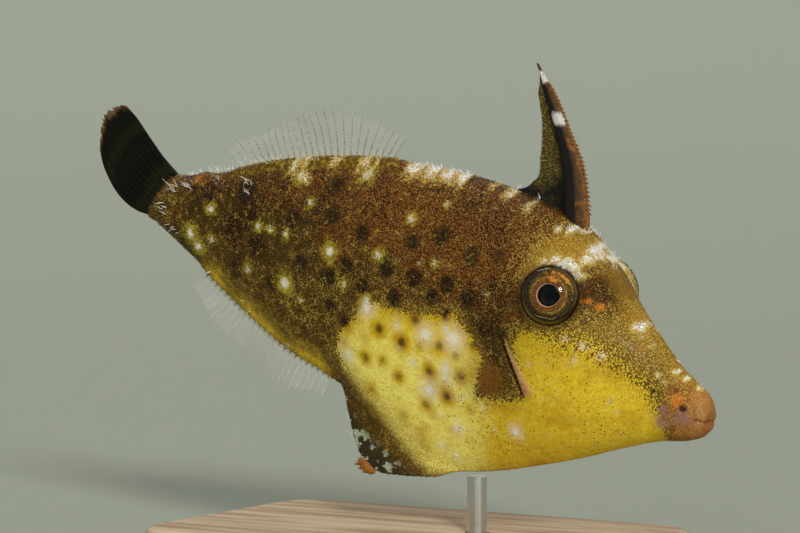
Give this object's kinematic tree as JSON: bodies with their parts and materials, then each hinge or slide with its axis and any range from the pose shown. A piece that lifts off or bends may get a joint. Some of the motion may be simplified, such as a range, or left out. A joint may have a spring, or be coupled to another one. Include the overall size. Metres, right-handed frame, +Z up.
{
  "type": "filefish model",
  "caption": "Life-size still model of an aiptasia-eating filefish, nose down with its dorsal spine raised, on a flat wooden display base with one short steel rod.",
  "frame": {"origin": "the centre of the display base's underside, below the middle of the fish's weight", "axes": "+X towards the fish's nose, +Y towards its left side, +Z up"},
  "size_m": [0.075, 0.032, 0.0517],
  "materials": {
    "head_skin": "rough velvety skin, yellow with gold stipple",
    "body_skin": "rough velvety skin, brown with yellow and dark spots",
    "lips": "soft orange-pink skin",
    "gill_skin": "soft pink-tan skin",
    "eyes": "clear glossy eye, bronze iris, dark pupil",
    "spine": "hard brown spine with small thorns",
    "spine_web": "thin olive web of skin",
    "soft_fins": "thin clear membrane with pale rays",
    "tail_fin": "dark membrane with olive bars",
    "stand_wood": "pale satin wood",
    "stand_steel": "brushed steel rod"
  },
  "bodies": {
    "root": {"head": "head_skin", "lip_upper": "lips", "lip_lower": "lips", "trunk": "body_skin", "tail_root": "body_skin", "pelvic_flap": "body_skin", "eye_right": "eyes", "eye_left": "eyes", "gill_flap_right": "gill_skin", "gill_flap_left": "gill_skin", "dorsal_spine": "spine", "pelvic_spine": "spine", "spine_membrane": "spine_web", "dorsal_fin": "soft_fins", "anal_fin": "soft_fins", "pectoral_fin_right": "soft_fins", "pectoral_fin_left": "soft_fins", "caudal_fin": "tail_fin", "stand_base": "stand_wood", "stand_rod": "stand_steel"}
  },
  "joints": []
}
